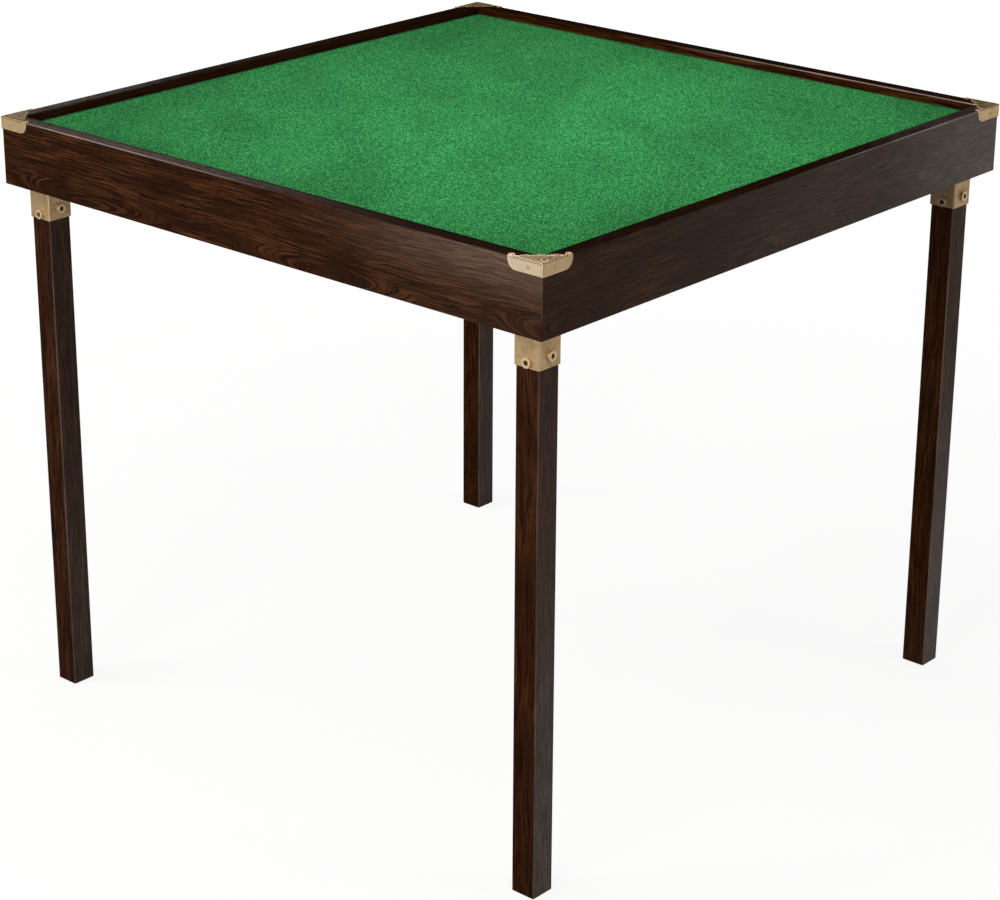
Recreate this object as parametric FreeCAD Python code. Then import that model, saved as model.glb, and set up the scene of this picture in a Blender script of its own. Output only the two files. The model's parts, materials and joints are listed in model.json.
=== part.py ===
import FreeCAD, Part
import os
from math import cos, pi, sin, sqrt

# A square mahjong table. Four mitred boards make the apron, and their top edges are the rim round
# a sunk baize panel. Square legs stand in brass corner sockets and are held by clamp screws.
# Two drawers run under the panel, one out of the left side and one out of the back.
# Millimetres, +Z up. The origin is on the floor under the table's centre. Front is -Y, right is +X.

# Apron boards and rim
table_width = 860.0            # over the boards, both ways
rim_height = 753.5             # floor to the rim's top edge
apron_depth = 84.0
apron_thickness = 20.0
edge_round = 1.6               # along the top edges
bottom_chamfer = 1.0
corner_round = 1.5
spline_width = 14.0            # loose tongue glued across each mitre
spline_thickness = 4.0
spline_height = 56.0
spline_setback = 12.0          # from the mitre's inner corner

# Playing panel
rim_lip = 9.5                  # rim above the baize
baize_thickness = 1.5
panel_thickness = 9.0
panel_gap = 0.3                # panel to rim, all round
ledge_width = 14.0             # battens under the panel
ledge_height = 14.0
ledge_gap = 0.5                # batten to what stops it
shortest_ledge = 40.0

# Corner caps of brass sheet
cap_sheet = 1.0
cap_arm = 47.5                 # from the corner to the arm's end
cap_drop = 15.6
cap_end_round = 11.5
cap_lobe = 6.6                 # rounded lobe at the end of each arm
cap_neck = 3.0                 # metal left behind the lobe
cap_notch = 4.4                # width of the notch behind the lobe
cap_shoulder_along = 29.5      # where the two curves of the ogee meet
cap_shoulder_across = 14.2
cap_cusp = 22.8                # middle point of the ogee, from both outer faces
cap_swell = 1.6                # how far each curve leaves its chord
pin_along = 20.0
pin_down = 8.7
pin_head_radius = 1.1
pin_head_height = 0.3
pin_radius = 0.8
pin_length = 11.0

# Legs
leg_side = 32.0
leg_chamfer = 1.0              # along the legs' edges
leg_clearance = 0.15           # leg to socket, each side
leg_seat_gap = 0.2             # leg top to the socket's top plate

# Leg sockets and clamp screws
socket_wall = 1.4
socket_chamfer = 1.2           # along the sleeve's edges
socket_drop = 42.0             # below the apron
socket_top = 2.0
ear_length = 26.0
ear_rise = 8.0                 # above the apron's bottom edge
ear_clearance = 6.0            # below the battens
ear_screw_spacing = 20.0
ear_chamfer = 5.0
boss_radius = 6.0
boss_height = 4.0
clamp_radius = 3.0
clamp_length = 3.0
clamp_low = 6.8                # above the socket's bottom edge, on the front face
clamp_low_offset = 2.0         # to the right of the leg's axis
clamp_high = 13.5              # on the right face
clamp_point_gap = 0.1          # screw's point to the leg
clamp_key = 3.0                # across the flats of the hexagon recess
clamp_key_depth = 1.8
thread_clearance = 0.06

# Wood screws and pins, drawn with few sides because they are small and many
fastener_sides = 6
screw_radius = 1.8
screw_head_radius = 3.5
screw_head_height = 1.8
socket_screw_length = 14.0
pilot_clearance = 0.05

# Cross rails under the panel
rail_thickness = 18.0
rail_housing = 5.0             # let into the apron boards
rail_clearance = 29.4          # from the other drawer's runner

# Drawers, the same on both sides
drawer_width = 260.0
opening_rise = 10.0            # wood left under the drawer opening
opening_headroom = 6.0         # drawer opening to the panel
drawer_rest_gap = 0.3          # drawer above its runners
drawer_side_gap = 0.6
drawer_top_gap = 0.9
drawer_back_gap = 0.3          # drawer to the cross rail when shut
side_thickness = 9.0
front_lap = 6.0                # wood left in front of the dovetails
tail_count = 3
tail_root = 8.8
tail_slope = 6                 # one across in this many along
bottom_thickness = 4.0
bottom_rise = 6.0
bottom_groove = 4.0
back_thickness = 9.0
back_housing = 3.0
back_inset = 6.0               # drawer back, in from the ends of the sides
back_lowering = 4.0
runner_wall = 10.0
runner_ledge = 8.0

# Flush drawer pulls of cast brass
flange_side = 7.0              # flange beyond the cup, at each end
flange_rise = 4.8              # above and below it
pull_flange = 1.5
pull_proud = 0.8
pull_fit = 0.1                 # between the pull and the wood
cup_width = 52.0
cup_height = 28.4
cup_corner = 4.5               # round the mouth
cup_depth = 9.0                # behind the flange
cup_wall = 1.2
bail_side_gap = 1.1            # arm to the cup's wall
bail_drop = 12.0
bail_corner = 6.0              # round the middle of its bar
bail_thickness = 3.4
bail_depth = 4.2               # pivot behind the pull's face
bail_top_gap = 2.8             # top of its arms to the cup's wall
pivot_radius = 1.2
pivot_clearance = 0.05

# Levels and faces that follow from the sizes above
half = table_width / 2
inner = half - apron_thickness
apron_bottom = rim_height - apron_depth
baize_top = rim_height - rim_lip
panel_top = baize_top - baize_thickness
panel_bottom = panel_top - panel_thickness
socket_bottom = apron_bottom - socket_drop
leg_bore = leg_side / 2 + leg_clearance
socket_half = leg_bore + socket_wall
leg_centre = inner - socket_half
leg_top = panel_bottom - socket_top - leg_seat_gap
ear_bottom = apron_bottom + ear_rise
ear_top = panel_bottom - ledge_height - ear_clearance
opening_bottom = apron_bottom + opening_rise
opening_top = panel_bottom - opening_headroom
opening_half = drawer_width / 2 + drawer_side_gap
runner_bottom = opening_bottom - runner_ledge
runner_half = opening_half + runner_wall
rail_face = runner_half + rail_clearance + rail_thickness
drawer_bottom = opening_bottom + drawer_rest_gap
drawer_top = opening_top - drawer_top_gap
drawer_end = -rail_face - drawer_back_gap
pull_middle = (drawer_bottom + drawer_top) / 2
pull_face = -half - pull_proud
pull_back = pull_face + pull_flange
cup_back = pull_back + cup_depth
bail_span = cup_width - 2 * (cup_wall + bail_side_gap) - bail_thickness
bail_axis_y = pull_face + bail_depth
bail_axis_z = pull_middle + cup_height / 2 - cup_wall - bail_top_gap - bail_thickness / 2

# How many quarter turns take the front side to each side, and the signs of each corner's place
SIDES = {"front": 0, "right": 1, "back": 2, "left": 3}
CORNERS = {
    "front_right": (1, -1),
    "back_right": (1, 1),
    "back_left": (-1, 1),
    "front_left": (-1, -1),
}
DRAWERS = ("left", "back")

UP = FreeCAD.Vector(0, 0, 1)
RIGHT = FreeCAD.Vector(1, 0, 0)
FRONT = FreeCAD.Vector(0, -1, 0)


# ---------------------------------------------------------------- shared forms

def point(x, y, z):
    return FreeCAD.Vector(x, y, z)


def box(x0, x1, y0, y1, z0, z1):
    low = point(min(x0, x1), min(y0, y1), min(z0, z1))
    return Part.makeBox(abs(x1 - x0), abs(y1 - y0), abs(z1 - z0), low)


def cylinder(radius, length, start, direction):
    return Part.makeCylinder(radius, length, start, direction)


def turned(shape, quarters):
    """A copy turned about the table's middle by a number of quarter turns."""
    copy = shape.copy()
    copy.rotate(point(0, 0, 0), UP, 90 * quarters)
    return copy


def distance_from_middle(edge):
    return sqrt(edge.CenterOfMass.x ** 2 + edge.CenterOfMass.y ** 2)


def height(edge):
    return edge.CenterOfMass.z


def edges_along(shape, direction):
    """The straight edges that run along a direction."""
    found = []
    for edge in shape.Edges:
        if not isinstance(edge.Curve, Part.Line):
            continue
        way = edge.Vertexes[-1].Point - edge.Vertexes[0].Point
        if way.cross(direction).Length < 1e-6:
            found.append(edge)
    return found


def rounded_box(x0, x1, y0, y1, z0, z1, radius, direction):
    blank = box(x0, x1, y0, y1, z0, z1)
    return blank.makeFillet(radius, edges_along(blank, direction))


def chamfered_post(x, y, half_side, z0, z1, chamfer):
    blank = box(x - half_side, x + half_side, y - half_side, y + half_side, z0, z1)
    return blank.makeChamfer(chamfer, edges_along(blank, UP))


def polygon_prism(corners, z0, z1):
    rim = [point(x, y, z0) for x, y in corners]
    face = Part.Face(Part.makePolygon(rim + [rim[0]]))
    return face.extrude(UP * (z1 - z0))


def arc_through(start, middle, end):
    return Part.Arc(start, middle, end).toShape()


def line(start, end):
    return Part.LineSegment(start, end).toShape()


def regular_prism(sides, radius, length, start, direction):
    """A prism whose ends are regular polygons about a line; the radius is to their corners."""
    across = direction.cross(UP)
    turn = 2 * pi / sides
    corners = [start + across * (radius * cos(turn * k)) + UP * (radius * sin(turn * k))
               for k in range(sides)]
    return Part.Face(Part.makePolygon(corners + [corners[0]])).extrude(direction * length)


def shank(radius, length, start, direction):
    return regular_prism(fastener_sides, radius, length, start, direction)


def headed_fastener(radius, length, head_radius, head_height, start, into):
    """A small screw or pin with its head on a face point, driven along a direction."""
    head = shank(head_radius, head_height, start - into * head_height, into)
    return head.fuse(shank(radius, length - pilot_clearance, start, into))


# ---------------------------------------------------------------- apron boards

def rail_housing_cutters():
    """The ends of the two cross rails, which the apron boards are housed for."""
    reach = inner + rail_housing
    left_rail = box(-rail_face, -rail_face + rail_thickness, -reach, reach, runner_bottom, panel_bottom)
    back_rail = box(-reach, reach, rail_face - rail_thickness, rail_face, runner_bottom, panel_bottom)
    return [left_rail, back_rail]


def corner_spline():
    """The spline of the front right mitre, standing across it."""
    low = point(-spline_width / 2, -spline_thickness / 2, 0)
    tongue = Part.makeBox(spline_width, spline_thickness, spline_height, low)
    tongue.rotate(point(0, 0, 0), UP, 45)
    along = inner + spline_setback / sqrt(2)
    tongue.translate(point(along, -along, apron_bottom + (apron_depth - spline_height) / 2))
    return tongue


def pin_places():
    """Where the cap pins enter the front board, left and right."""
    height = rim_height + cap_sheet - pin_down
    across = half + cap_sheet - pin_along
    return [point(side * across, -half, height) for side in (-1, 1)]


def apron_board():
    """The front board with mitred ends, before drawer openings and housings."""
    board = box(-half, half, -half, -inner, apron_bottom, rim_height)
    edges = sorted(edges_along(board, RIGHT), key=height)
    board = board.makeChamfer(bottom_chamfer, edges[:2])
    edges = sorted(edges_along(board, RIGHT), key=height)
    board = board.makeFillet(edge_round, edges[-2:])
    mitred = polygon_prism([(-half, -half), (half, -half), (inner, -inner), (-inner, -inner)],
                           apron_bottom, rim_height)
    outline = rounded_box(-half, half, -half, half, apron_bottom, rim_height, corner_round, UP)
    board = board.common(mitred).common(outline)
    holes = [corner_spline(), turned(corner_spline(), 3)]
    for place in pin_places():
        holes.append(shank(pin_radius + pilot_clearance, pin_length, place, -FRONT))
    return board.cut(holes)


def drawer_opening():
    return box(-opening_half, opening_half, -half, -inner, opening_bottom, opening_top)


def apron_parts():
    pieces = {}
    for side, quarters in SIDES.items():
        board = apron_board()
        if side in DRAWERS:
            board = board.cut(drawer_opening())
        board = turned(board, quarters).cut(rail_housing_cutters())
        holes = [screw_hole for corner in CORNERS for screw_hole in socket_screw_holes(corner)]
        pieces["apron_" + side] = board.cut(holes)
    splines = [turned(corner_spline(), quarters) for quarters in SIDES.values()]
    pieces["corner_splines"] = Part.makeCompound(splines)
    return pieces


# ---------------------------------------------------------------- panel, ledges and rails

def free_runs(blocks):
    """The stretches of a side between its sockets that no drawer or rail takes up."""
    reach = leg_centre - socket_half - ledge_gap
    start = -reach
    runs = []
    for low, high in sorted(blocks):
        runs.append((start, low - ledge_gap))
        start = high + ledge_gap
    runs.append((start, reach))
    return [run for run in runs if run[1] - run[0] > shortest_ledge]


def side_blocks():
    """What stands against each side's inner face, as stretches along it seen from outside."""
    near = rail_face - rail_thickness
    drawer = (-runner_half, runner_half)
    return {
        "front": [(-rail_face, -near)],
        "right": [(near, rail_face)],
        "back": [drawer, (near, rail_face)],
        "left": [drawer, (-rail_face, -near)],
    }


def panel_parts():
    ledges = []
    for side, blocks in side_blocks().items():
        for low, high in free_runs(blocks):
            batten = box(low, high, -inner, -inner + ledge_width, panel_bottom - ledge_height, panel_bottom)
            ledges.append(turned(batten, SIDES[side]))
    reach = inner - panel_gap
    return {
        "panel_ledges": Part.makeCompound(ledges),
        "playing_panel": box(-reach, reach, -reach, reach, panel_bottom, panel_top),
        "baize": box(-reach, reach, -reach, reach, panel_top, baize_top),
    }


def rail_parts():
    """Two rails that cross behind the drawers, halved into each other."""
    left_rail, back_rail = rail_housing_cutters()
    middle = (runner_bottom + panel_bottom) / 2
    crossing = left_rail.common(back_rail)
    bounds = crossing.BoundBox
    upper = box(bounds.XMin, bounds.XMax, bounds.YMin, bounds.YMax, middle, panel_bottom)
    lower = box(bounds.XMin, bounds.XMax, bounds.YMin, bounds.YMax, runner_bottom, middle)
    return {
        "cross_rail_left": left_rail.cut(upper),
        "cross_rail_back": back_rail.cut(lower),
    }


# ---------------------------------------------------------------- corner caps

def ogee_half(corner, along, across):
    """One half of the cap's inner edge, from the arm's outer face to the middle cusp."""
    def place(u, v):
        return corner + along * u + across * v

    def curve(start, end, swell):
        chord = (end[0] - start[0], end[1] - start[1])
        length = sqrt(chord[0] ** 2 + chord[1] ** 2)
        middle = ((start[0] + end[0]) / 2 - swell * chord[1] / length,
                  (start[1] + end[1]) / 2 + swell * chord[0] / length)
        return arc_through(place(*start), place(*middle), place(*end))

    lobe_start = (cap_arm, cap_lobe / 2)
    lobe_end = (cap_arm - cap_lobe, cap_lobe / 2 + cap_swell / 2)
    lobe_top = (cap_arm - cap_lobe / 2, cap_lobe)
    notch_end = (lobe_end[0] - cap_notch, lobe_end[1])
    notch_middle = (lobe_end[0] - cap_notch / 2, cap_neck)
    shoulder = (cap_shoulder_along, cap_shoulder_across)
    cusp = (cap_cusp, cap_cusp)
    return [
        line(place(0, 0), place(cap_arm, 0)),
        line(place(cap_arm, 0), place(*lobe_start)),
        arc_through(place(*lobe_start), place(*lobe_top), place(*lobe_end)),
        arc_through(place(*lobe_end), place(*notch_middle), place(*notch_end)),
        curve(notch_end, shoulder, -cap_swell),
        curve(shoulder, cusp, cap_swell),
    ]


def cap_side_plate():
    """The cap's face on the front board."""
    reach = half + cap_sheet
    top = rim_height + cap_sheet

    def place(along, down):
        return point(reach - along, -reach, top - down)

    turn = cap_end_round * (1 - sqrt(0.5))
    edges = [
        line(place(0, 0), place(cap_arm, 0)),
        line(place(cap_arm, 0), place(cap_arm, cap_drop - cap_end_round)),
        arc_through(place(cap_arm, cap_drop - cap_end_round), place(cap_arm - turn, cap_drop - turn),
                    place(cap_arm - cap_end_round, cap_drop)),
        line(place(cap_arm - cap_end_round, cap_drop), place(0, cap_drop)),
        line(place(0, cap_drop), place(0, 0)),
    ]
    face = Part.Face(Part.Wire(Part.__sortEdges__(edges)))
    return face.extrude(-FRONT * cap_sheet)


def corner_cap():
    """The front right cap: a scalloped top plate and two bent-down faces."""
    reach = half + cap_sheet
    corner = point(reach, -reach, rim_height)
    edges = ogee_half(corner, -RIGHT, -FRONT) + ogee_half(corner, -FRONT, -RIGHT)
    top = Part.Face(Part.Wire(Part.__sortEdges__(edges))).extrude(UP * cap_sheet)
    side = cap_side_plate()
    across = side.mirror(point(0, 0, 0), point(1, 1, 0))
    cap = top.fuse([side, across]).removeSplitter()
    face_point = pin_places()[1] + FRONT * cap_sheet
    hole = shank(pin_radius + pilot_clearance, cap_sheet, face_point, -FRONT)
    return cap.cut([hole, hole.mirror(point(0, 0, 0), point(1, 1, 0))])


def cap_pin():
    start = pin_places()[1] + FRONT * cap_sheet
    return headed_fastener(pin_radius, pin_length, pin_head_radius, pin_head_height, start, -FRONT)


def cap_parts():
    pieces, pins = {}, []
    for quarters, corner in enumerate(CORNERS):
        pieces["corner_cap_" + corner] = turned(corner_cap(), quarters)
        for pin in (cap_pin(), cap_pin().mirror(point(0, 0, 0), point(1, 1, 0))):
            pins.append(turned(pin, quarters))
    pieces["cap_pins"] = Part.makeCompound(pins)
    return pieces


# ---------------------------------------------------------------- legs, sockets and clamp screws

def leg_axis(corner):
    side_x, side_y = CORNERS[corner]
    return side_x * leg_centre, side_y * leg_centre


def ear_screw_places(corner):
    """The inner face points of a socket's four ear screws, with the way each is driven."""
    side_x, side_y = CORNERS[corner]
    across = leg_centre - socket_half - ear_length / 2
    ear_face = inner - socket_wall
    places = []
    for lift in (-ear_screw_spacing / 2, ear_screw_spacing / 2):
        height = (ear_bottom + ear_top) / 2 + lift
        places.append((point(side_x * across, side_y * ear_face, height), point(0, side_y, 0)))
        places.append((point(side_x * ear_face, side_y * across, height), point(side_x, 0, 0)))
    return places


def socket_screw_holes(corner):
    return [shank(screw_radius + pilot_clearance, socket_screw_length, place, into)
            for place, into in ear_screw_places(corner)]


def clamp_axes(corner):
    """A point on the leg's axis plane and the outward way, for each clamp screw."""
    x, y = leg_axis(corner)
    return {
        "lower": (point(x + clamp_low_offset, y, socket_bottom + clamp_low), FRONT),
        "upper": (point(x, y, socket_bottom + clamp_high), RIGHT),
    }


def clamp_boss(start, way):
    """A boss brazed into the sleeve's wall."""
    root = leg_bore + socket_wall / 2
    return cylinder(boss_radius, socket_half + boss_height - root, start + way * root, way)


def leg_socket(corner):
    """A square sleeve with a top plate, two ears along the aprons and two threaded bosses."""
    x, y = leg_axis(corner)
    side_x, side_y = CORNERS[corner]
    sleeve = chamfered_post(x, y, socket_half, socket_bottom, panel_bottom, socket_chamfer)
    ear_start = leg_centre - leg_bore
    ear_end = leg_centre - socket_half - ear_length
    ear_face = inner - socket_wall
    ears = [
        clipped_ear(box(side_x * ear_start, side_x * ear_end, side_y * inner, side_y * ear_face,
                        ear_bottom, ear_top)),
        clipped_ear(box(side_x * inner, side_x * ear_face, side_y * ear_start, side_y * ear_end,
                        ear_bottom, ear_top)),
    ]
    bosses = [clamp_boss(start, way) for start, way in clamp_axes(corner).values()]
    hollow = box(x - leg_bore, x + leg_bore, y - leg_bore, y + leg_bore,
                 socket_bottom, panel_bottom - socket_top)
    cutters = [hollow] + socket_screw_holes(corner)
    for start, way in clamp_axes(corner).values():
        cutters.append(cylinder(clamp_radius + thread_clearance, socket_half + boss_height, start, way))
    return sleeve.fuse(ears + bosses).removeSplitter().cut(cutters)


def clipped_ear(blank):
    """An ear with its two free corners cut off; the other two are inside the sleeve's wall."""
    thin_x = blank.BoundBox.XLength < blank.BoundBox.YLength
    corners = edges_along(blank, RIGHT if thin_x else FRONT)
    corners.sort(key=distance_from_middle)
    return blank.makeChamfer(ear_chamfer, corners[:2])


def leg(corner):
    x, y = leg_axis(corner)
    return chamfered_post(x, y, leg_side / 2, 0, leg_top, leg_chamfer)


def clamp_screw(start, way):
    """A grub screw with a hexagon recess in its outer end."""
    tip = leg_side / 2 + clamp_point_gap
    screw = cylinder(clamp_radius, clamp_length, start + way * tip, way)
    recess_start = start + way * (tip + clamp_length - clamp_key_depth)
    return screw.cut(regular_prism(6, clamp_key / sqrt(3), clamp_key_depth, recess_start, way))


def leg_parts():
    pieces, screws = {}, []
    for corner in CORNERS:
        pieces["leg_" + corner] = leg(corner)
        pieces["leg_socket_" + corner] = leg_socket(corner)
        for level, (start, way) in clamp_axes(corner).items():
            pieces["clamp_screw_" + corner + "_" + level] = clamp_screw(start, way)
        for place, into in ear_screw_places(corner):
            screws.append(headed_fastener(screw_radius, socket_screw_length, screw_head_radius,
                                          screw_head_height, place, into))
    pieces["socket_screws"] = Part.makeCompound(screws)
    return pieces


# ---------------------------------------------------------------- drawers, built on the front side

def tails(side):
    """Dovetails on the front end of a drawer side, as solids through its thickness."""
    outer = side * drawer_width / 2
    root = -inner
    end = -half + front_lap
    pitch = (drawer_top - drawer_bottom) / tail_count
    spread = (root - end) / tail_slope
    solids = []
    for index in range(tail_count):
        middle = drawer_bottom + (index + 0.5) * pitch
        corners = [(root, middle - tail_root / 2), (end, middle - tail_root / 2 - spread),
                   (end, middle + tail_root / 2 + spread), (root, middle + tail_root / 2)]
        rim = [point(outer, y, z) for y, z in corners]
        face = Part.Face(Part.makePolygon(rim + [rim[0]]))
        solids.append(face.extrude(RIGHT * (-side * side_thickness)))
    return solids


def drawer_bottom_plate(end_play):
    """The plywood bottom in its grooves; no play gives the grooves' own space."""
    reach = drawer_width / 2 - side_thickness + bottom_groove - end_play
    low = drawer_bottom + bottom_rise
    return box(-reach, reach, -inner - bottom_groove + end_play, drawer_end - back_inset,
               low, low + bottom_thickness)


def drawer_back_board():
    reach = drawer_width / 2 - side_thickness + back_housing
    rear = drawer_end - back_inset
    return box(-reach, reach, rear - back_thickness, rear,
               drawer_bottom + bottom_rise + bottom_thickness, drawer_top - back_lowering)


def drawer_side(side):
    outer = side * drawer_width / 2
    board = box(outer, outer - side * side_thickness, -inner, drawer_end, drawer_bottom, drawer_top)
    groove_depth = outer - side * (side_thickness - bottom_groove)
    groove_low = drawer_bottom + bottom_rise
    groove = box(groove_depth, outer - side * side_thickness, -half, drawer_end,
                 groove_low, groove_low + bottom_thickness)
    board = board.fuse(tails(side)).removeSplitter()
    return board.cut([groove, drawer_back_board()])


def cup_block(wider, taller, y0, y1):
    """A block round the pull's cup, wider and taller than it by so much on each side."""
    reach = cup_width / 2 + wider
    rise = cup_height / 2 + taller
    return box(-reach, reach, y0, y1, pull_middle - rise, pull_middle + rise)


def drawer_front():
    board = box(-drawer_width / 2, drawer_width / 2, -half, -inner, drawer_bottom, drawer_top)
    flange = cup_block(flange_side + pull_fit, flange_rise + pull_fit, -half, pull_back)
    cup = cup_block(pull_fit, pull_fit, -half, cup_back + pull_fit)
    return board.cut([flange, cup, drawer_bottom_plate(0)] + tails(-1) + tails(1))


def bail_pivots(radius):
    """The line that the bail turns on, as one cylinder across the cup."""
    return cylinder(radius, cup_width, point(-cup_width / 2, bail_axis_y, bail_axis_z), RIGHT)


def drawer_pull():
    """A flange with a cup behind it, drilled for the bail's pivots."""
    flange = cup_block(flange_side, flange_rise, pull_face, pull_back)
    cup = cup_block(0, 0, pull_back, cup_back)
    hollow = cup_block(-cup_wall, -cup_wall, pull_face, cup_back - cup_wall)
    hollow = hollow.makeFillet(cup_corner, edges_along(hollow, FRONT))
    return flange.fuse(cup).removeSplitter().cut([hollow, bail_pivots(pivot_radius + pivot_clearance)])


def bail_outline(wider, top):
    """The block inside one side of the bail's bar, with its two lower corners round."""
    reach = bail_span / 2 + wider
    low = bail_axis_z - bail_drop - wider
    blank = box(-reach, reach, bail_axis_y - bail_thickness / 2, bail_axis_y + bail_thickness / 2, low, top)
    corners = sorted(edges_along(blank, FRONT), key=height)
    return blank.makeFillet(bail_corner + wider, corners[:2])


def drawer_bail():
    """A flat bar bent to a U that hangs from two short pivots."""
    top = bail_axis_z + bail_thickness / 2
    bar = bail_outline(bail_thickness / 2, top).cut(bail_outline(-bail_thickness / 2, top))
    gap = box(-bail_span / 2, bail_span / 2, pull_face, cup_back, pull_middle - cup_height, top)
    return bar.fuse(bail_pivots(pivot_radius).cut(gap)).removeSplitter()


def runner(side):
    """A channel that carries, guides and keeps down one drawer side."""
    wall_in = side * opening_half
    wall_out = side * runner_half
    lip = side * (drawer_width / 2 - side_thickness)
    blank = box(wall_out, lip, -inner, -rail_face, runner_bottom, panel_bottom)
    return blank.cut(box(wall_in, lip, -inner, -rail_face, opening_bottom, opening_top))


def drawer_parts():
    pieces = {}
    for name in DRAWERS:
        solids = {
            "runners": Part.makeCompound([runner(-1), runner(1)]),
            "front": drawer_front(),
            "side_left": drawer_side(-1),
            "side_right": drawer_side(1),
            "back": drawer_back_board(),
            "bottom": drawer_bottom_plate(pull_fit),
            "pull": drawer_pull(),
            "bail": drawer_bail(),
        }
        for piece, solid in solids.items():
            pieces[name + "_drawer_" + piece] = turned(solid, SIDES[name])
    return pieces


def table():
    pieces = {}
    for group in (apron_parts, panel_parts, rail_parts, cap_parts, leg_parts, drawer_parts):
        pieces.update(group())
    return pieces


os.makedirs("parts", exist_ok=True)
for node, shape in table().items():
    shape.exportStep("parts/" + node + ".step")
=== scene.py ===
import json
from math import asin, atan2, ceil, cos, exp, pi, radians, sin, sqrt

import bmesh
import bpy
import numpy as np
from mathutils import Matrix, Vector
from mathutils.geometry import delaunay_2d_cdt


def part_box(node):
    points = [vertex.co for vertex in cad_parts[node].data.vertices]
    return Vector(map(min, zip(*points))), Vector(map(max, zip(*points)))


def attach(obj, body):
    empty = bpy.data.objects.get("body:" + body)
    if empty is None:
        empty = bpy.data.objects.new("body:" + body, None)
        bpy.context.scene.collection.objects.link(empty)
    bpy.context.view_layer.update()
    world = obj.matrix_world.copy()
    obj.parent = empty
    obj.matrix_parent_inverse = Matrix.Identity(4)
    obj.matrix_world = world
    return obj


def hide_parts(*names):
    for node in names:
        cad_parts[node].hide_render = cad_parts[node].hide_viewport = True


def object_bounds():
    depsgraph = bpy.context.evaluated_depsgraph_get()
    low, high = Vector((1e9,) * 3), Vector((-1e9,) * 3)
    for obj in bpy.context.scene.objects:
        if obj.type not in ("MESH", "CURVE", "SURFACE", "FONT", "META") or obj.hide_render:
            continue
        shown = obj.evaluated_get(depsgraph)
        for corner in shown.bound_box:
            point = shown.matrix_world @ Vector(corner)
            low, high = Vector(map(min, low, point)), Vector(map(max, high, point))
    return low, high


# Looks of the mahjong table. Metres, the frame's own axes: front is -Y, right is +X, +Z is up.

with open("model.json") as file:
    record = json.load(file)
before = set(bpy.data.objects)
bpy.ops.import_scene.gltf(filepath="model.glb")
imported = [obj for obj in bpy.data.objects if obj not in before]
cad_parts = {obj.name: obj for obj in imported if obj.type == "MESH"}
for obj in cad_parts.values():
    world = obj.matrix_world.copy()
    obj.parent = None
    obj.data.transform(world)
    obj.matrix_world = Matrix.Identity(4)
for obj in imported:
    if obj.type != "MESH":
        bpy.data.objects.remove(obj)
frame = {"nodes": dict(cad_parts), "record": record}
CAD_LOW, CAD_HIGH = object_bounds()
MM = 0.001
WELD = 1e-6                    # points nearer than this are one
FRONT, RIGHT = Vector((0, -1, 0)), Vector((1, 0, 0))
CORNERS = ("front_right", "back_right", "back_left", "front_left")
DRAWERS = ("left", "back")

# Camera
CAMERA_PLACE = (2.0928, -2.3846, 1.5837)
CAMERA_HEADING = 132.268       # degrees, anticlockwise from +X
CAMERA_PITCH = 20.341          # degrees below the horizon
CAMERA_LENS = 96.47            # millimetres
CAMERA_SHIFT = (0.0411, -0.0734)

# Corner caps, in millimetres along the rim and across it from the cap's outer corner
CAP_SHEET = 1.0
CAP_FOLD = 1.15                # radius of the bent edges
CAP_END_ROUND = 11.5
CAP_LOBE = 6.6
CAP_NECK = 3.0
CAP_NOTCH = 4.4
CAP_SHOULDER = (29.5, 14.2)
CAP_CUSP = (22.8, 22.8)
CAP_SWELL = 1.6
CAP_STEP = 0.45                # spacing of the points of its mesh
CAP_FOLD_STEP = 0.3            # and at its folds
CAP_SIDE_STEP = 1.0            # and down its sides
CAP_EDGE_CLEAR = 0.28          # no such points nearer to its edge

# The caps' relief, in millimetres: a bead is where its crest runs and how wide it is
TOP_DEPTH = 0.62
SIDE_DEPTH = 0.28
SIDE_BORDERS = (1.6, 1.7)      # flat bands along the sides' edges and under their folds
ROPE_DEPTH = 0.42              # of the gaps between the rope's teeth, on the side
ROPE_PITCH = 3.3
ROPE_LEAN = 0.22               # turns per millimetre across the fold
ROPE_BEAD = (0.5, 3.2)         # from the fold
PEARL_PITCH = 3.2
PEARL_REACH = 31.0             # from the cap's middle line
PEARL_BEAD = (0.8, 1.9)        # from the edge
LINE_BEAD = (2.9, 1.2)         # the plain line inside the pearls, from the edge
CURL_BEAD = (0.0, 2.2)         # from the lobe's middle
FAN_PLACE = 3.6                # its root, from both sides
FAN_REACH = (2.6, 9.5, 5.5)    # from its root to the inner end, to the gaps, and from there to the tips
STEM_PLACE = (6.4, 1.5, 9.5)   # a winding stem's place from the side, its swing and one turn's length
STEM_ENDS = (18.5, 9.0)        # from the cap's corner and from the arm's end

# Fittings, in millimetres
BOSS_RADIUS = 6.0
BOSS_HEIGHT = 4.0
RIM_GAP = 0.08                 # an edge as near as this to the boss's radius is on its rim
SLOT = 0.8
EAR_HEAD = (3.4, 1.8)          # radius and height
EAR_SHANK = (1.7, 10.0, 13.0)  # radius, length and length with the point
PULL_HEAD = (1.6, 0.5)
PULL_SCREW_REACH = 30.0        # from the pull's middle
PIN_PLACE = (20.0, 8.7)        # from the cap's corner and from its top
PIN_HEAD = 1.5
PIN_SHANK = (0.7, 9.0, 10.0)   # radius, length and length with the point
FOLD_LENGTH = 20.0             # upright edges longer than this are folds of the sheet
FOLD_TURN, RIM_TURN, EDGE_TURN = 60, 50, 28     # degrees: sharper edges than these are rounded

# Baize, in metres
BAIZE_STEPS = 130
POOL_MIDDLE = 0.08             # to the right: the middle of the paler part, a painted pool of light on the baize
POOL_REACH = (0.20, 0.60)      # from there to its end and to the darkest part of that painted light
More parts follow.
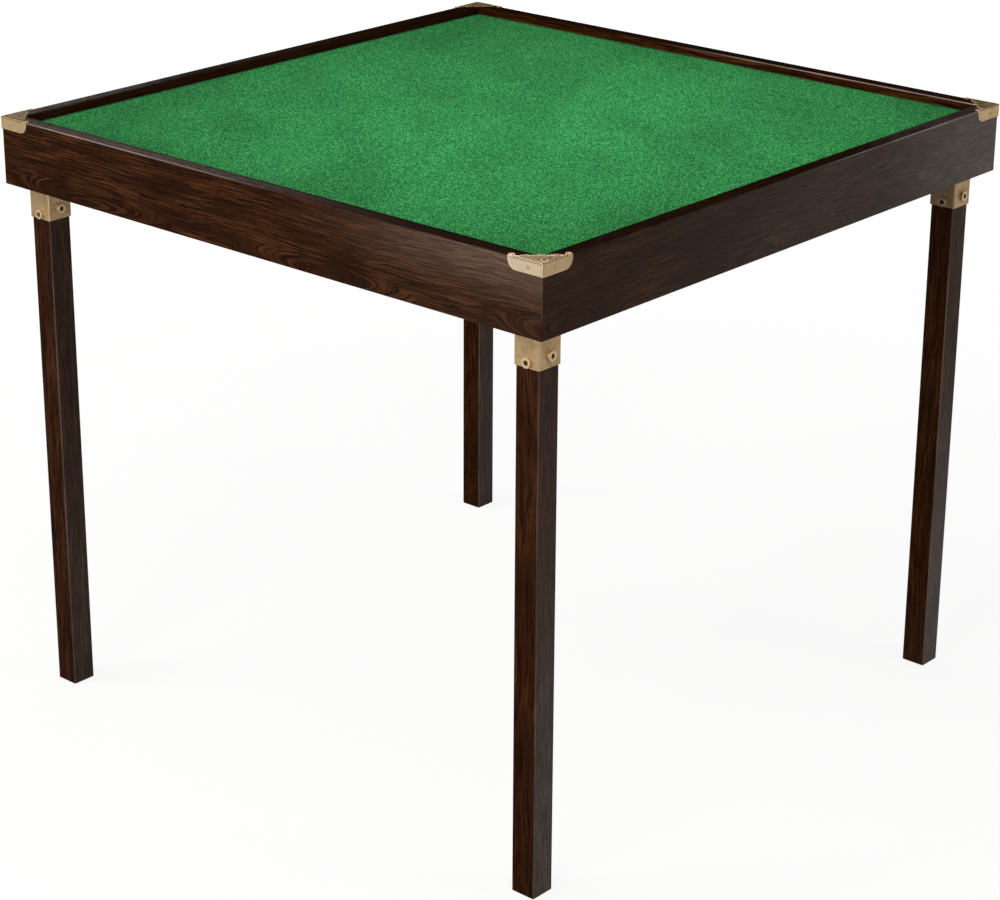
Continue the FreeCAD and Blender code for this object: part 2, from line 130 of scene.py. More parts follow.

# The pale surroundings: white to the camera, softer in reflections
FLOOR_HALF = 30.0
FLOOR_GLOW = 0.88
FLOOR_FAR = 1.0                # its glow far off
FLOOR_REACH = (1.2, 4.0)       # where the one starts to turn into the other and where it ends
FLOOR_SHINE = 0.06
FLOOR_POOLS = (                # x, y, radius and strength of the lighter pools that gloss shows
    (-1.0, -2.4, 1.4, 1.00),
    (-3.0, -2.7, 1.3, 0.12),
    (2.0, 2.6, 1.6, 0.95),
    (0.95, 0.60, 1.05, 0.95),
    (-2.4, 2.2, 1.8, 0.50),
)
FLOOR_TONE = 0.14              # how much of the lamps' light the floor gives back to the eye
FLOOR_BOUNCE = 0.35            # and to matt surfaces above it
SKY_LIGHT = 0.45
SKY_SHINE = 0.04
LAMPS = (                      # name, place, target, size, power and colour
    ("key", (-2.5, -3.0, 3.6), (0, 0, 0.55), (1.7, 1.7), 76, (1.0, 0.97, 0.93)),
    ("front", (0.7, -3.2, 1.3), (0, 0, 0.5), (1.4, 1.4), 40, (1.0, 0.96, 0.91)),
    ("overhead", (0.05, 0.0, 1.40), (0.05, 0.0, 0.75), (0.4, 0.4), 3.2, (1.0, 1.0, 1.0)),
    ("right", (3.2, 1.2, 1.7), (0, 0, 0.5), (1.2, 1.2), 20, (1.0, 0.91, 0.80)),
    ("rim_sheen", (-2.2, 1.25, 1.62), (-0.3, -0.3, 0.75), (0.8, 0.7), 2.2, (1.0, 0.88, 0.80)),
)


# ---- pieces and meshes

def paint(mesh, material):
    mesh.materials.clear()
    mesh.materials.append(material)


def new_piece(name, mesh, material, body, slot, *nodes):
    """Links a mesh as a piece that rides on a body and stands for CAD nodes."""
    mesh.name = name
    piece = bpy.data.objects.new(name, mesh)
    bpy.context.scene.collection.objects.link(piece)
    paint(mesh, material)
    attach(piece, body)
    if nodes:
        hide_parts(*nodes)
    return piece


def finished(bm):
    """A smoothly shaded mesh."""
    bmesh.ops.recalc_face_normals(bm, faces=bm.faces)
    mesh = bpy.data.meshes.new("piece")
    bm.to_mesh(mesh)
    bm.free()
    mesh.shade_smooth()
    return mesh


def even_shading(piece):
    """Flat faces stay flat while the bevels between them shade smoothly."""
    piece.modifiers.new("even", "WEIGHTED_NORMAL").keep_sharp = True


def middle_of(node):
    low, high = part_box(node)
    return (low + high) / 2


def welded(node):
    """A CAD node's mesh with its faces joined at their corners."""
    bm = bmesh.new()
    bm.from_mesh(frame["nodes"][node].data)
    bmesh.ops.remove_doubles(bm, verts=bm.verts, dist=WELD)
    return bm


def softened(node, width, fold_width=0.0, rims=(), rim_width=0.0):
    """A mesh like a CAD node's with rounded edges.

    fold_width is for long upright folds, rim_width for the edges of the bosses on the axes in rims.
    """
    bm = welded(node)
    bmesh.ops.dissolve_limit(bm, angle_limit=radians(1), verts=bm.verts, edges=bm.edges)

    def on_rim(edge):
        return any(all(abs((v.co - start).cross(way).length - BOSS_RADIUS * MM) < RIM_GAP * MM
                       for v in edge.verts) for start, way in rims)

    def turns(edge, least):
        return len(edge.link_faces) == 2 and edge.calc_face_angle(0) > radians(least)

    def round_off(chosen, offset, segments):
        if chosen:
            bmesh.ops.bevel(bm, geom=chosen, offset=offset, segments=segments, profile=0.5,
                            affect="EDGES", clamp_overlap=True)

    if fold_width:
        upright = [e for e in bm.edges if turns(e, FOLD_TURN) and e.is_convex
                   and abs(e.verts[0].co.z - e.verts[1].co.z) > FOLD_LENGTH * MM]
        round_off(upright, fold_width, 4)
    round_off([e for e in bm.edges if turns(e, EDGE_TURN) and not on_rim(e)], width, 2)
    round_off([e for e in bm.edges if turns(e, RIM_TURN) and on_rim(e)], rim_width, 4)
    return finished(bm)


def soft_piece(node, name, material, slot, width, **wider):
    bodies = frame["record"]["behaviour"]["bodies"]
    body = next(body for body, nodes in bodies.items() if node in nodes)
    even_shading(new_piece(name, softened(node, width, **wider), material, body, slot, node))


def eased(node, width):
    """Small round edges on a CAD node, as a modifier."""
    obj = frame["nodes"][node]
    obj.modifiers.new("weld", "WELD").merge_threshold = WELD
    bevel = obj.modifiers.new("ease", "BEVEL")
    bevel.limit_method = "ANGLE"
    bevel.angle_limit = radians(35)
    bevel.width = width
    bevel.segments = 2
    even_shading(obj)


def join(bm, rings):
    """Adds the faces between rings of points; a ring may be a single point."""
    for low, high in zip(rings, rings[1:]):
        for k in range(max(len(low), len(high))):
            spots = ((low, k), (low, k + 1), (high, k + 1), (high, k))
            corners = dict.fromkeys(ring[index % len(ring)] for ring, index in spots)
            bm.faces.new(list(corners))


def lathe(bm, profile, start, way, sides):
    """Adds a turned solid; profile holds (radius, height) pairs from pole to pole."""
    turn = way.to_track_quat("Z", "Y").to_matrix()
    rings = []
    for radius, height in profile:
        angles = [2 * pi * k / sides for k in range(sides if radius else 1)]
        spots = [Vector((radius * cos(a), radius * sin(a), height)) for a in angles]
        rings.append([bm.verts.new(start + turn @ spot) for spot in spots])
    join(bm, rings)


# ---- nodes of materials

class Value:
    """A value in a surface's nodes. Arithmetic with it adds nodes."""

    def __init__(self, surface, socket):
        self.surface = surface
        self.socket = socket

    def __add__(self, other):
        return self.surface.math("ADD", self, other)

    def __sub__(self, other):
        return self.surface.math("SUBTRACT", self, other)

    def __rsub__(self, other):
        return self.surface.math("SUBTRACT", other, self)

    def __mul__(self, other):
        return self.surface.math("MULTIPLY", self, other)

    def __truediv__(self, other):
        return self.surface.math("DIVIDE", self, other)

    def __abs__(self):
        return self.surface.math("ABSOLUTE", self)

    def root(self):
        return self.surface.math("SQRT", self)

    def below(self, limit):
        """1 where the value is less than the limit, else 0."""
        return self.surface.math("LESS_THAN", self, limit)

    def between(self, low, high, to_low=0.0, to_high=1.0):
        """Maps the value from one range to another, clamped, with soft ends."""
        values = (self, low, high, to_low, to_high)
        return self.surface.add("MapRange", enumerate(values), interpolation_type="SMOOTHSTEP")


class Surface:
    """A material, or the world, whose nodes are added by short calls."""

    def __init__(self, owner, shader="Principled BSDF"):
        owner.use_nodes = True
        self.owner = owner
        self.nodes = owner.node_tree.nodes
        self.links = owner.node_tree.links
        self.shader = self.nodes[shader]

    def feed(self, socket, value):
        """Links a value to a socket, or sets it there. Colours have three numbers."""
        if isinstance(value, Value):
            self.links.new(value.socket, socket)
        else:
            socket.default_value = (*value, 1) if socket.type == "RGBA" else value

    def set(self, **values):
        """Sets or links sockets of the shader."""
        for key, value in values.items():
            self.feed(self.shader.inputs[key.replace("_", " ")], value)

    def add(self, kind, inputs=(), output=0, **settings):
        """Adds a node and returns one of its outputs. Inputs go by name or number."""
        made = self.nodes.new("ShaderNode" + kind)
        for key, setting in settings.items():
            setattr(made, key, setting)
        for key, value in dict(inputs).items():
            self.feed(made.inputs[key], value)
        return Value(self, made.outputs[output])

    def math(self, operation, *values):
        return self.add("Math", enumerate(values), operation=operation)

    def larger(self, *values):
        return self.math("MAXIMUM", *values)

    def smaller(self, *values):
        return self.math("MINIMUM", *values)

    def distance(self, vector, middle=(0, 0, 0)):
        return self.add("VectorMath", {0: vector, 1: middle}, "Value", operation="DISTANCE")

    def place(self):
        return self.add("TexCoord", output="Object")

    def normal(self):
        """How far the surface faces along each axis."""
        return self.parts(self.add("NewGeometry", output="Normal"))

    def ray(self, kind):
        """1 for the rays of a kind, else 0."""
        return self.add("LightPath", output="Is " + kind + " Ray")

    def parts(self, vector):
        split = self.add("SeparateXYZ", {0: vector}).socket.node
        return [Value(self, socket) for socket in split.outputs]

    def joined(self, *values):
        return self.add("CombineXYZ", enumerate(values))

    def moved(self, vector, scale=(1, 1, 1), shift=(0, 0, 0), turn=(0, 0, 0)):
        return self.add("Mapping", {"Vector": vector, "Location": shift, "Rotation": turn, "Scale": scale})

    def noise(self, vector, scale, shift=(0, 0, 0), detail=2.0, roughness=0.5):
        """Noise in three dimensions; its scale is one number or one for each axis."""
        if isinstance(scale, tuple):
            vector = self.moved(vector, scale, shift)
            scale = 1.0
        inputs = {"Vector": vector, "Scale": scale, "Detail": detail, "Roughness": roughness}
        return self.add("TexNoise", inputs)

    def noise_along(self, value):
        """Noise in one dimension."""
        return self.add("TexNoise", {"W": value, "Scale": 1.0, "Detail": 1.0}, noise_dimensions="1D")

    def ramp(self, factor, *stops):
        made = self.add("ValToRGB", {0: factor})
        elements = made.socket.node.color_ramp.elements
        while len(elements) < len(stops):
            elements.new(0.5)
        for element, (position, colour) in zip(elements, stops):
            element.position = position
            element.color = (*colour, 1)
        return made

    def mix(self, factor, first, second, blend="MIX"):
        inputs = {0: factor, 6: first, 7: second}
        return self.add("Mix", inputs, output=2, data_type="RGBA", blend_type=blend)

    def shaded(self, colour, share):
        """A colour multiplied by a number."""
        return self.mix(1.0, colour, self.joined(share, share, share), "MULTIPLY")

    def bump(self, height, distance):
        self.set(Normal=self.add("Bump", {"Distance": distance, "Height": height}))

    def near(self, parts, edges, width):
        """1 on the given edges, falling to 0 a width away.

        An edge is where two flat faces meet, each face an axis number and its place on that axis.
        Further entries, with an axis number and two places, let the edge fade out from the first
        place to the second.
        """
        painted_pale = 0.0
        for first, second, *fades in edges:
            gaps = [abs(parts[axis] - at) for axis, at in (first, second)]
            edge = self.larger(*gaps).between(width, 0.0)
            for axis, start, end in fades:
                edge = edge * parts[axis].between(start, end, 1.0, 0.0)
            painted_pale = self.larger(edge, painted_pale)
        return painted_pale

    def crevices(self, distance):
        """1 deep in corners and holes, 0 on open faces."""
        return 1.0 - self.add("AmbientOcclusion", {"Distance": distance}, "AO", samples=6, only_local=True)


def new_surface(name):
    return Surface(bpy.data.materials.new(name))


# ---- wood

# Which axes run along the grain, across the board's face and into it
GRAIN_AXES = {"x": (0, 2, 1), "y": (1, 2, 0), "z": (2, 0, 1)}

WOOD_SHINE = 0.12              # specular level off the worn edges
DULL_SHINE = 0.03              # and in the corner between the rim and the baize
DULL_REACH = (3.0, 9.0)        # millimetres from the rim's inner face: from dull to glossy
WORN_HIGHLIGHT_WIDTH = 1.9             # millimetres: width of the scuffed edges, painted pale as highlights too

# Dark pores, ground, lighter ground, streaks and, on walnut, scuffed edges painted pale, partly as a
# highlight
WALNUT = ((0.0068, 0.0012, 0.0001), (0.0168, 0.0035, 0.0003), (0.0265, 0.0066, 0.0009),
          (0.0900, 0.0310, 0.0092), (0.4200, 0.3300, 0.3000))
LEG_WALNUT = ((0.0085, 0.0016, 0.0002), (0.0210, 0.0048, 0.0005), (0.0330, 0.0090, 0.0014),
              (0.1050, 0.0380, 0.0120), (0.4200, 0.3300, 0.3000))
MAPLE = ((0.16, 0.085, 0.042), (0.25, 0.15, 0.078), (0.33, 0.21, 0.115), (0.43, 0.29, 0.17))
OIL = (1.0, 0.62, 0.42)        # colour of the gloss on the walnut
FRONT_SHEEN = (0.145, 0.094, 0.068)   # painted grey sheen on the front board towards its right end and top, standing in for a reflection
RIGHT_SHEEN = (0.085, 0.070, 0.064)  # painted grey sheen on faces that face right, standing in for a reflection
# a paler painted grey sheen on faces that face right
RIGHT_PALE_SHEEN = (0.150, 0.132, 0.128)
TOP_SHADE = ((0.006, 0.0025, 0.0012), (4, 0.6, 0.9, 0.0, 0.92))  # painted shade on surfaces that face up, the rims' tops
TO_THE_RIGHT = (3, 0.5, 0.8, 0.0, 1.0)  # how a painted sheen grows as the surface turns to face right


def wood(name, axis, heart, shift, colours, figure=(), worn_highlit_edges=(), painted_light=(), rings=300.0, gloss=0.38,
         wander=1.0, bold=0.95, wear_and_highlight=1.0, dull=(), top_gloss=(), gloss_tint=OIL):
    """Figured wood: growth rings round a heart line, with streaks that follow them, and pores.

    heart is where the line of the tree's heart runs, across the face and into it, in metres.
    figure lists places where the rings bulge: along, across, half length, half width, depth.
    worn_highlit_edges lists the edges that hands have scuffed, which are also painted pale as highlights,
    and wear_and_highlight says how much. wander says how far the grain strays, and bold how strong its
    streaks are.
    painted_light lists painted sheen and painted shade: a colour, then (axis number, from, to, least, most)
    for each way in which its strength changes; axis 3 is how far the surface faces right, 4 how far up.
    dull is an axis number and a distance from the middle, from which the gloss comes back outwards.
    top_gloss is how the gloss of the top changes: axis number, from, to and the shares there.
    """
    surface = new_surface(name)
    parts = surface.parts(surface.place())
    along, across, into = (parts[index] for index in GRAIN_AXES[axis])
    grain = surface.moved(surface.joined(along, across, into), shift=shift)
    drift = surface.noise(grain, (2.4, 4.0, 4.0), detail=1)
    waver = surface.noise(grain, (5.0, 9.0, 9.0), (3.1, 0, 0), detail=1.5)
    depth = into - heart[1] + (drift - 0.5) * (0.09 * wander)
    rise = across - heart[0] + (waver - 0.5) * (0.008 * wander)
    radius = (depth * depth + rise * rise).root()
    calm = 0.0
    for a, b, length, width, swell in figure:
        x = (along - a) * (1 / length)
        y = (across - b) * (1 / width)
        peak = surface.larger(1.0 - (x * x + y * y).root(), 0.0)
        radius = peak * swell + radius
        calm = surface.larger(peak, calm)

    ripple = surface.noise(grain, (20.0, 45.0, 45.0), (0, 6.6, 0), detail=1)
    radius = (ripple - 0.5) * 0.0045 + radius
    ring = surface.noise_along(radius * rings)
    flow = surface.joined(along + shift[0], radius, into)
    fibre = surface.noise(flow, (12.0, 880.0, 60.0), detail=2, roughness=0.6)
    second = surface.noise(flow, (15.0, 620.0, 40.0), (9.4, 2.0, 0), detail=1)
    third = surface.noise(flow, (24.0, 980.0, 60.0), (2.7, 6.0, 0), detail=1)
    fine = surface.noise(flow, (36.0, 1200.0, 300.0), (1.4, 5.0, 0), detail=1)
    cloud = surface.noise(grain, (5.0, 16.0, 16.0), detail=2)
    broken = surface.noise(flow, (9.0, 60.0, 30.0), (5.2, 8.0, 0), detail=1.5)
    pores = surface.noise(flow, (55.0, 1000.0, 600.0), (7.7, 0, 0), detail=1).between(0.60, 0.68)

    tone = ring * 0.24 + fibre * 0.34 + fine * 0.34 + cloud * 0.08
    colour = surface.ramp(tone, (0.40, colours[0]), (0.49, colours[1]), (0.58, colours[2]))
    streaks = surface.larger(second.between(0.52, 0.62), third.between(0.52, 0.62) * 0.7)
    streaks = streaks * broken.between(0.34, 0.64, 0.25 * bold, bold)
    if figure:
        streaks = streaks * calm.between(0.0, 0.5, 1.0, 0.6)
    colour = surface.mix(streaks, colour, colours[3])
    colour = surface.mix(pores * 0.75, colour, colours[0])

    normal = surface.normal()
    places = [*parts, normal[0], normal[2]]
    # Painted sheen and painted shade, following the streaks
    for painted_colour, *changes in painted_light:
        amount = streaks.between(0.0, 0.6, 0.62, 1.0)
        for number, *change in changes:
            amount = amount * places[number].between(*change)
        colour = surface.mix(amount, colour, surface.shaded(painted_colour, fine.between(0.36, 0.64, 0.74, 1.22)))

    gleam = WOOD_SHINE
    if dull:
        away = abs(parts[dull[0]]) - dull[1]
        gleam = away.between(*(reach * MM for reach in DULL_REACH), DULL_SHINE, WOOD_SHINE)
    if top_gloss:
        lost = (1.0 - places[top_gloss[0]].between(*top_gloss[1:])) * normal[2].between(0.6, 0.9)
        gleam = (1.0 - lost) * gleam
    # Scuffed edges, painted paler and glossier as highlights too
    if worn_highlit_edges:
        edge = surface.near(parts, worn_highlit_edges, WORN_HIGHLIGHT_WIDTH * MM)
        colour = surface.mix(edge * broken.between(0.38, 0.60, 0.55 * wear_and_highlight, 0.95 * wear_and_highlight), colour, colours[4])
        gleam = edge * (0.4 * wear_and_highlight) + gleam
    surface.set(Base_Color=colour, Specular_IOR_Level=gleam, Specular_Tint=gloss_tint,
                Roughness=pores * 0.22 + (fibre * 0.16 + (gloss - 0.08)))
    surface.bump(pores * -1.4 + (fibre + fine), 0.00007)
    return surface.owner


def plywood():
    surface = new_surface("birch_plywood")
    place = surface.place()
    face = surface.noise(place, (9.0, 120.0, 9.0), detail=3)
    cloud = surface.noise(place, 5.0)
    tone = cloud * 0.4 + face * 0.6
    colour = surface.ramp(tone, (0.3, (0.27, 0.165, 0.085)), (0.5, (0.40, 0.27, 0.155)),
                          (0.7, (0.50, 0.36, 0.22)))
    two_plies = 3.0 * MM
    layers = surface.math("SINE", surface.parts(place)[2] * (2 * pi / two_plies))
    side = abs(surface.normal()[2]).below(0.5)
    colour = surface.mix(side * layers.between(-0.2, 0.4, 0.0, 0.6), colour, (0.16, 0.09, 0.045))
    surface.set(Base_Color=colour, Specular_IOR_Level=0.25, Roughness=face * 0.2 + 0.5)
    surface.bump(face, 0.00008)
    return surface.owner


# ---- cloth and metal

def baize_material():
    """Short wool nap brushed one way: fine specks, a few stray pale fibres and wide soft clouds."""
    surface = new_surface("green_baize")
    place = surface.place()
    nap = surface.moved(place, turn=(0, 0, -radians(CAMERA_HEADING)))
    tufts = surface.noise(nap, (260.0, 560.0, 560.0), detail=1.5, roughness=0.7)
    specks = surface.noise(nap, (430.0, 900.0, 900.0), (2.3, 6.1, 0), detail=1)
    cloud = surface.noise(nap, (5.0, 9.0, 9.0), detail=1.5)
    colour = surface.ramp(specks * 0.40 + tufts * 0.60, (0.36, (0.004, 0.072, 0.014)),
                          (0.50, (0.020, 0.198, 0.050)), (0.64, (0.070, 0.385, 0.122)))
    # A painted pool of light: paler round the middle, darker outwards
    away = surface.distance(surface.moved(place, (1, 1, 0), (-POOL_MIDDLE, 0, 0)))
    painted_pale = away.between(*POOL_REACH, 0.965, 0.82)
    colour = surface.shaded(colour, cloud.between(0.34, 0.66, 0.86, 1.08) * painted_pale)
    fleck = surface.noise(place, (260.0, 260.0, 260.0), (4.4, 1.7, 0), detail=1).between(0.765, 0.80)
    colour = surface.mix(fleck * 0.55, colour, (0.55, 0.50, 0.26))
    surface.set(Base_Color=colour, Roughness=0.95, Specular_IOR_Level=0.03,
                Sheen_Weight=0.03, Sheen_Roughness=0.5, Sheen_Tint=(0.4, 0.9, 0.5))
    surface.bump(tufts + specks, 0.0005)
    return surface.owner


# Dark brown of the patina in the caps' sunk ground, and of the painted shade round the pins
GRIME_AND_SHADE = (0.15, 0.085, 0.040)
CREVICE_REACH = 3.0              # millimetres: how far round a corner grime and painted shade reach
# A painted pale sheen for the front right cap's front, and painted shade for its right side
CAP_FRONT_SHEEN = (0.93, 0.77, 0.58)
CAP_SIDE_SHADE = (0.52, 0.36, 0.20)
ROPE_GAP = (0.10, 0.055, 0.026)
# Painted highlights on the sockets' upright folds and the bosses' faces
SOCKET_HIGHLIGHT = (1.0, 0.84, 0.56)
# Painted shade on the back sockets' front faces, under the table
SOCKET_SHADE = (0.16, 0.10, 0.05)


def brass(name, bright, brown, patina, rough):
    """Satin brass with a thin dull skin: faint brown clouds, a few specks and a fine grain."""
    surface = new_surface(name)
    place = surface.place()
    cloud = surface.noise(place, 48.0, detail=2.5, roughness=0.55)
    specks = surface.noise(place, 380.0)
    fine = surface.noise(place, 1500.0)
    aged = (specks * 0.30 + cloud * 0.70).between(0.56, 0.34, 0.0, patina)
    # Grime and painted shade in corners and holes
    dirt_and_shade = surface.crevices(CREVICE_REACH * MM).between(0.35, 0.80, 0.0, 0.85)
    colour = surface.mix(aged, bright, brown)
    colour = surface.mix(dirt_and_shade, colour, tuple(0.22 * part for part in brown))
    surface.set(Base_Color=colour, Metallic=0.7, Specular_IOR_Level=0.4,
                Roughness=surface.larger(aged, dirt_and_shade) * 0.16 + (fine * 0.1 + rough))
    surface.bump(fine * 0.3 + specks, 0.00003)
    return surface, colour


def cap_brass():
    """Cap brass: the sunk ground of the top plate and the gaps of the rope are darker, and so is a
    ring of grime and painted shade round each pin. The front right cap's front has a painted pale sheen, its
    right side painted shade."""
    surface, colour = brass("cap_brass", (0.89, 0.66, 0.37), (0.52, 0.34, 0.16), 0.35, 0.40)
    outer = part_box("corner_cap_front_right")[1].x
    place = surface.place()
    x, y, z = surface.parts(place)
    from_sides = [(outer - abs(part)) / MM for part in (x, y)]
    down = (CAD_HIGH.z - z) / MM
    facing = surface.normal()
    # The front right cap: painted sheen on its front, painted shade on its right side
    near = (x - y).between(0.6, 0.75)
    colour = surface.mix(facing[1].between(-0.5, -0.9, 0.0, 0.75) * near, colour, CAP_FRONT_SHEEN)
    colour = surface.mix(facing[0].between(0.5, 0.9, 0.0, 0.28) * near, colour, CAP_SIDE_SHADE)

    inside = surface.smaller(*from_sides).between(1.5, 2.1)
    blotch = surface.noise(place, 190.0).between(0.3, 0.6, 0.45, 0.90)
    sunk = down.between(0.08, 0.45) * down.below(0.9) * blotch
    colour = surface.mix(sunk * inside, colour, GRIME_AND_SHADE)

    along = surface.larger(*from_sides)
    fold = surface.smaller(*from_sides) - down
    wave = surface.math("COSINE", (fold * ROPE_LEAN + along / ROPE_PITCH) * (2 * pi))
    band = abs(fold + 0.1).between(2.3, 1.9) * surface.larger(down, fold).below(2.6)
    band = band * along.between(41.5, 40.5)
    colour = surface.mix(band * wave.between(0.0, -0.5, 0.0, 0.97), colour, ROPE_GAP)

    # A ring of grime and painted shade round each pin
    away = []
    for part in from_sides:
        aside, below = part - PIN_PLACE[0], down - PIN_PLACE[1]
        away.append((aside * aside + below * below).root())
    ring = surface.smaller(*away).between(PIN_HEAD + 0.9, PIN_HEAD + 0.1, 0.0, 0.6)
    surface.set(Base_Color=surface.mix(ring, colour, GRIME_AND_SHADE))
    return surface.owner


def socket_brass():
    """Socket brass: its upright folds and the bosses' faces have painted highlights, and the back
    sockets' front faces, under the table, have painted shade."""
    surface, colour = brass("socket_brass", (0.74, 0.53, 0.28), (0.42, 0.28, 0.15), 0.60, 0.44)
    x, y, z = surface.parts(surface.place())
    middle = middle_of("leg_front_right").x
    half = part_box("leg_socket_front_right")[1].x - middle - BOSS_HEIGHT * MM
    gaps = [abs(abs(part) - middle) for part in (x, y)]
    fold = surface.smaller(*gaps).between(half - 1.5 * MM, half - 0.5 * MM)
    boss = surface.larger(*gaps).between(half + 2.6 * MM, half + 3.6 * MM)
    highlight_mask = surface.larger(fold, boss) * 0.75 * z.below(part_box("apron_front")[0].z)
    colour = surface.mix(highlight_mask, colour, SOCKET_HIGHLIGHT)
    # Painted shade on the front faces of the back sockets
    shade_mask = surface.normal()[1].between(-0.4, -0.9) * y.between(0.0, 0.2) * 0.7
    surface.set(Base_Color=surface.mix(shade_mask, colour, SOCKET_SHADE))
    return surface.owner


def steel():
    surface = new_surface("zinc_steel")
    cloud = surface.noise(surface.place(), 260.0, detail=3)
    surface.set(Base_Color=surface.ramp(cloud, (0.3, (0.34, 0.33, 0.31)), (0.7, (0.62, 0.61, 0.58))),
                Metallic=1.0, Roughness=cloud * 0.25 + 0.25)
    surface.bump(cloud, 0.00003)
    return surface.owner


# ---- corner caps

def arc(start, middle, end):
    """Points on the circle through three points, from the first up to but without the last."""
    a, b, c = (Vector(p) for p in (start, middle, end))
    d = 2 * (a.x * (b.y - c.y) + b.x * (c.y - a.y) + c.x * (a.y - b.y))
    aa, bb, cc = a.length_squared, b.length_squared, c.length_squared
    centre = Vector(((aa * (b.y - c.y) + bb * (c.y - a.y) + cc * (a.y - b.y)) / d,
                     (aa * (c.x - b.x) + bb * (a.x - c.x) + cc * (b.x - a.x)) / d))
    first, last = a - centre, c - centre
    turn = atan2(first.cross(last), first.dot(last))
    through = atan2(first.cross(b - centre), first.dot(b - centre))
    if through * turn < 0:
        turn -= 2 * pi if turn > 0 else -2 * pi
    count = max(3, ceil(abs(turn) * first.length / CAP_STEP))
    return [centre + Matrix.Rotation(turn * k / count, 2) @ first for k in range(count)]


def straight(start, end):
    a, b = Vector(start), Vector(end)
    count = max(1, round((b - a).length / CAP_STEP))
    return [a.lerp(b, k / count) for k in range(count)]


def swollen(start, end, swell):
    a, b = Vector(start), Vector(end)
    way = (b - a).normalized()
    return arc(a, (a + b) / 2 + Vector((-way.y, way.x)) * swell, b)


def cap_half_edge(arm, drop):
    """Half of the cap's edge unfolded flat, from the seam's lower end to the cusp."""
    turn = CAP_END_ROUND * (1 - sqrt(0.5))
    lobe_end = (arm - CAP_LOBE, CAP_LOBE / 2 + CAP_SWELL / 2)
    notch_end = (lobe_end[0] - CAP_NOTCH, lobe_end[1])
    round_start, round_end = (arm - CAP_END_ROUND, -drop), (arm, CAP_END_ROUND - drop)
    return (straight((0, -drop), round_start)
            + arc(round_start, (arm - turn, -drop + turn), round_end)
            + straight(round_end, (arm, CAP_LOBE / 2))
            + arc((arm, CAP_LOBE / 2), (arm - CAP_LOBE / 2, CAP_LOBE), lobe_end)
            + arc(lobe_end, (lobe_end[0] - CAP_NOTCH / 2, CAP_NECK), notch_end)
            + swollen(notch_end, CAP_SHOULDER, -CAP_SWELL)
            + swollen(CAP_SHOULDER, CAP_CUSP, CAP_SWELL))


def step(distance, width):
    """0 up to a distance of nought, 1 from a width on."""
    return np.clip(distance / width, 0, 1)


def teeth(turns):
    """Round teeth along a row, from 0 in the gaps to 1 on the crests."""
    return np.clip(0.5 + 0.95 * np.cos(2 * pi * turns), 0, 1)


def bead(distance, middle, width):
    """A half-round moulding across a distance, from 0 at its sides to 1 on its crest."""
    return np.sqrt(np.clip(1 - ((distance - middle) / (width / 2)) ** 2, 0, 1))


def gap_to_edges(points, rim):
    """The distance of each point to the closed line through the rim's points."""
    starts = np.array(rim)
    ways = np.roll(starts, -1, axis=0) - starts
    best = np.full(len(points), np.inf)
    for start, way in zip(starts, ways):
        t = np.clip(((points - start) @ way) / (way ** 2).sum(), 0, 1)
        away = points - start - t[:, None] * way
        best = np.minimum(best, np.sqrt((away ** 2).sum(1)))
    return best


def cap_relief(points, rim, arm):
    """How far each point of the unfolded cap stands below its highest surface."""
    u, v = points[:, 0], points[:, 1]
    edge = gap_to_edges(points, rim)
    fold = np.minimum(u, v)
    along = np.maximum(u, v)
    across = np.where(u > v, v, u)

    # The sides: a sunk ground inside a flat border, and the rope's teeth round the fold
    ground = np.minimum(step(edge - SIDE_BORDERS[0], 0.5), step(-fold - SIDE_BORDERS[1], 0.5))
    tooth = teeth(along / ROPE_PITCH + fold * ROPE_LEAN)
    over_fold = step(fold + 1.0, 0.8) * step(arm - CAP_LOBE - along, 0.8)
    side = np.maximum(SIDE_DEPTH * ground, ROPE_DEPTH * over_fold * (1 - tooth))

    # The top's rope along the folds, and the pearls and the plain line along the inner edge
    rope = bead(fold, *ROPE_BEAD) * (0.3 + 0.7 * tooth)
    pearl = 0.1 + 0.9 * np.where(along - fold < PEARL_REACH, teeth((u - v) / PEARL_PITCH), 1)
    pearls = np.maximum(bead(edge, *PEARL_BEAD) * pearl, 0.6 * bead(edge, *LINE_BEAD))
    near_rim = np.where(fold > 1.6, np.where(edge < PEARL_BEAD[0], pearl, pearls), 0)

    # The top's field: a fan in the corner, a winding stem along each arm and a curl in each lobe
    angle = np.arctan2(v - FAN_PLACE, u - FAN_PLACE) - pi / 4
    reach = np.hypot(u - FAN_PLACE, v - FAN_PLACE)
    petal = np.abs(np.cos(5 * angle))
    root, gap, tip = FAN_REACH
    fan = step(reach - root, 0.8) * step(gap + tip * petal * np.cos(angle) - reach, 0.9) * petal ** 0.6
    middle, swing, turn = STEM_PLACE
    stem = np.exp(-((across - (middle + swing * np.sin(2 * pi * (along - 4) / turn))) / 0.62) ** 2)
    stem = stem * step(along - STEM_ENDS[0], 1.5) * step(arm - STEM_ENDS[1] - along, 1.5)
    field = np.where(edge > 3.2, 0.5 * np.maximum(fan, stem), 0)
    lobe = np.hypot(along - (arm - CAP_LOBE / 2), across - CAP_LOBE / 2 + 0.2)
    curl = 0.8 * bead(lobe, *CURL_BEAD)

    top = TOP_DEPTH * (1 - np.maximum.reduce([rope, near_rim, field, curl]))
    return np.where(fold >= 0, top, side)


def within(points, rim):
    """Which points lie inside the closed line through the rim's points."""
    inside = np.zeros(len(points), bool)
    for (x0, y0), (x1, y1) in zip(rim, rim[1:] + rim[:1]):
        crosses = (y0 > points[:, 1]) != (y1 > points[:, 1])
        slope = (x1 - x0) / (y1 - y0) if y1 != y0 else 0
        inside ^= crosses & (points[:, 0] < x0 + slope * (points[:, 1] - y0))
    return inside


